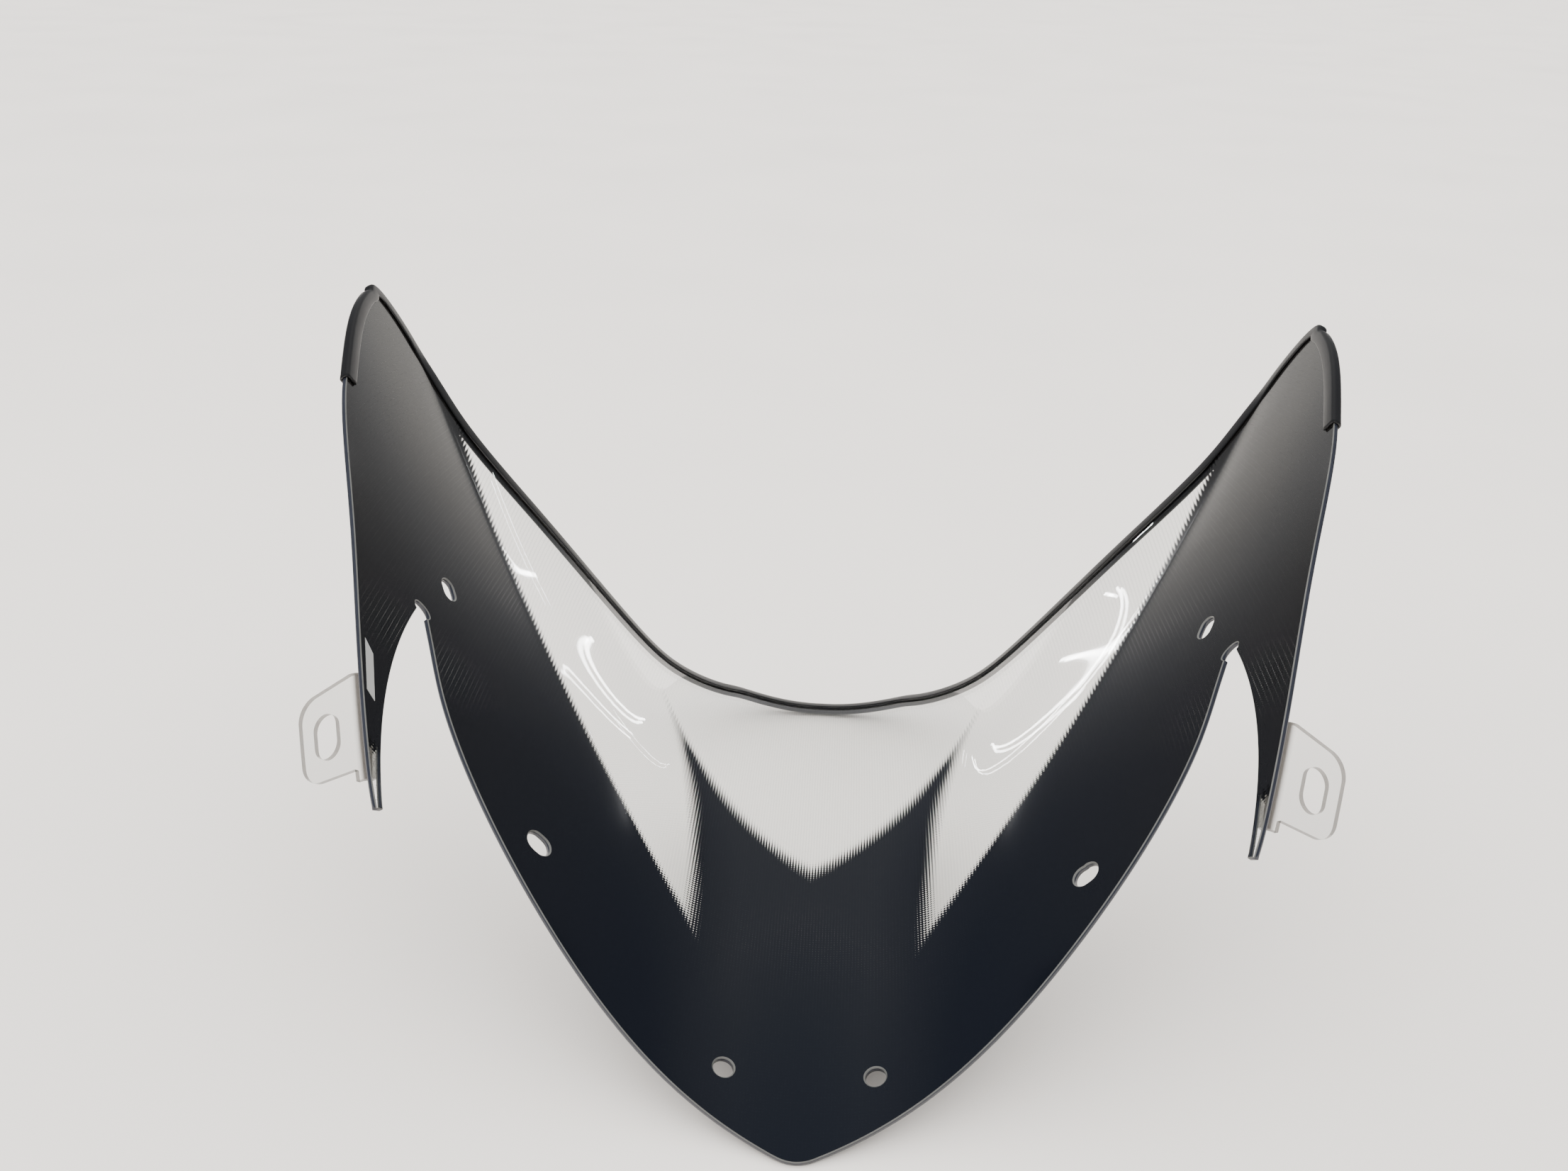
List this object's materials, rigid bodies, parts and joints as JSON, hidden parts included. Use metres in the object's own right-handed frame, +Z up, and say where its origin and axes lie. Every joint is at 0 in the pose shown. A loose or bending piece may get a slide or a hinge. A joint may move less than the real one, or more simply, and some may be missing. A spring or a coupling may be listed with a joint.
{
  "type": "windshield screen",
  "caption": "Low curved windshield screen with swept side wings, dark printed lower area, rubber edge trim and bonded slotted side tabs.",
  "frame": {"origin": "middle of the footprint, on the ground under the lowest points, with the screen lying on its outer face", "axes": "+X across the screen, +Y from the nose edge towards the trimmed top edge, +Z up out of the hollow inner side"},
  "size_m": [0.6098, 0.4297, 0.3211],
  "materials": {
    "screen_plastic": "polished polycarbonate, clear, with a near-black printed mask",
    "trim_rubber": "satin black rubber",
    "clear_plastic": "polished clear polycarbonate",
    "bond_cement": "clear solvent cement",
    "label_film": "matte pale film, blank"
  },
  "bodies": {
    "root": {"windshield_screen": "screen_plastic", "edge_trim": "trim_rubber", "left_mount_tab": "clear_plastic", "right_mount_tab": "clear_plastic", "left_bond_layer": "bond_cement", "right_bond_layer": "bond_cement", "info_label": "label_film"}
  },
  "joints": []
}
